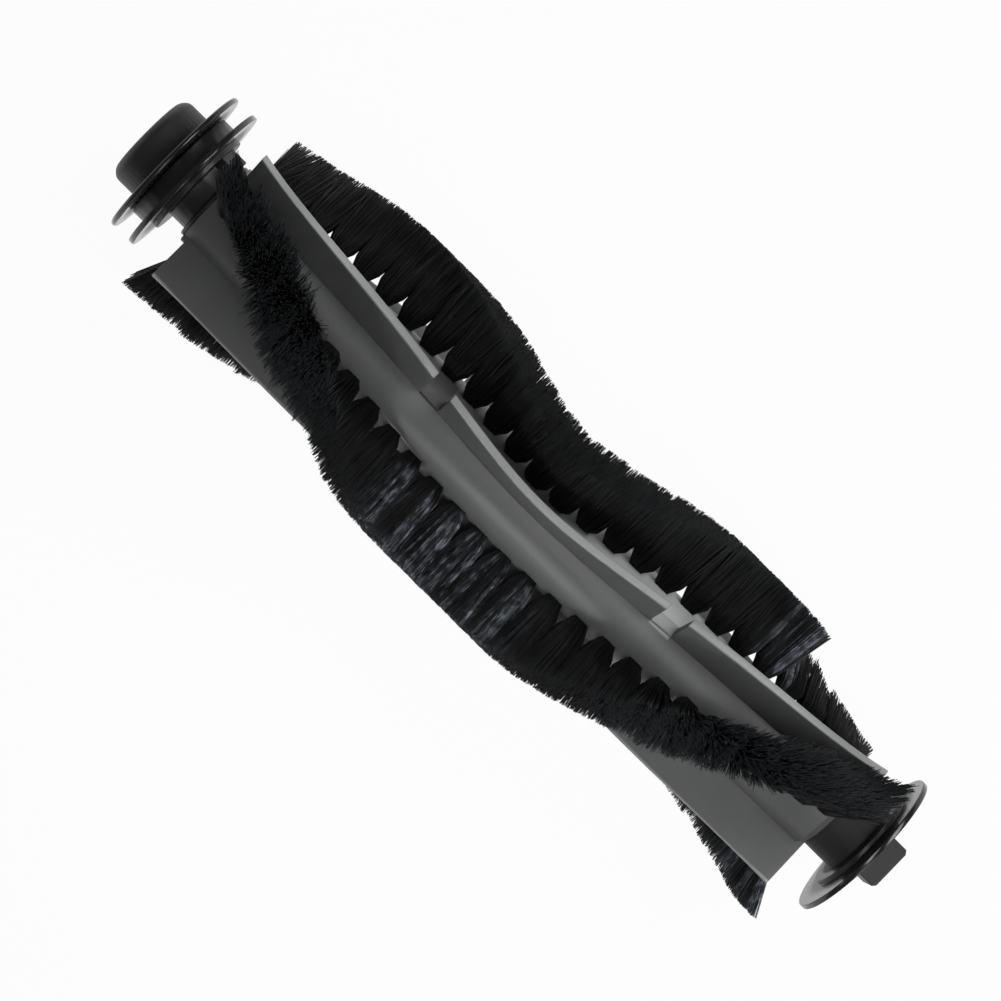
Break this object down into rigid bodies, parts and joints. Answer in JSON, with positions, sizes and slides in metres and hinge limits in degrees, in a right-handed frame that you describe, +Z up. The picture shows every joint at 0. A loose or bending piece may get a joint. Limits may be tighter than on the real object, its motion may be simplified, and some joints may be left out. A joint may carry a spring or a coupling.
{
  "type": "robot vacuum roller brush",
  "caption": "Roller brush for a robot vacuum: a grey core with V-shaped rubber blades and rows of bristle tufts, a free-turning bearing cap and a square drive peg.",
  "frame": {"origin": "on the roller's axis, half way along the brush", "axes": "+X along the axis towards the square drive peg, +Z up as the brush lies, +Y across it"},
  "size_m": [0.1746, 0.0436, 0.0436],
  "materials": {
    "grey_plastic": "satin moulded",
    "grey_rubber": "matte moulded",
    "black_plastic": "semi-gloss",
    "black_bristle": "nylon filament",
    "pin_steel": "ground",
    "bush_bronze": "sintered",
    "anchor_wire": "drawn wire"
  },
  "bodies": {
    "roller": {"drive_shaft": "black_plastic", "axle_pin": "pin_steel", "roller_core": "grey_plastic", "wiper_blade_1": "grey_rubber", "wiper_blade_2": "grey_rubber", "wiper_blade_3": "grey_rubber", "bristle_row_a_left": "black_bristle", "bristle_row_a_right": "black_bristle", "bristle_row_b_left": "black_bristle", "bristle_row_b_right": "black_bristle", "bristle_row_c_left": "black_bristle", "bristle_row_c_right": "black_bristle", "tuft_anchors_a_left": "anchor_wire", "tuft_anchors_a_right": "anchor_wire", "tuft_anchors_b_left": "anchor_wire", "tuft_anchors_b_right": "anchor_wire", "tuft_anchors_c_left": "anchor_wire", "tuft_anchors_c_right": "anchor_wire"},
    "cap": {"end_cap": "black_plastic", "bush": "bush_bronze"}
  },
  "joints": [
    {"name": "cap_spin", "type": "hinge", "parent": "roller", "child": "cap", "pos_m": [-0.0838, 0, 0], "axis": [1, 0, 0], "continuous": true}
  ]
}
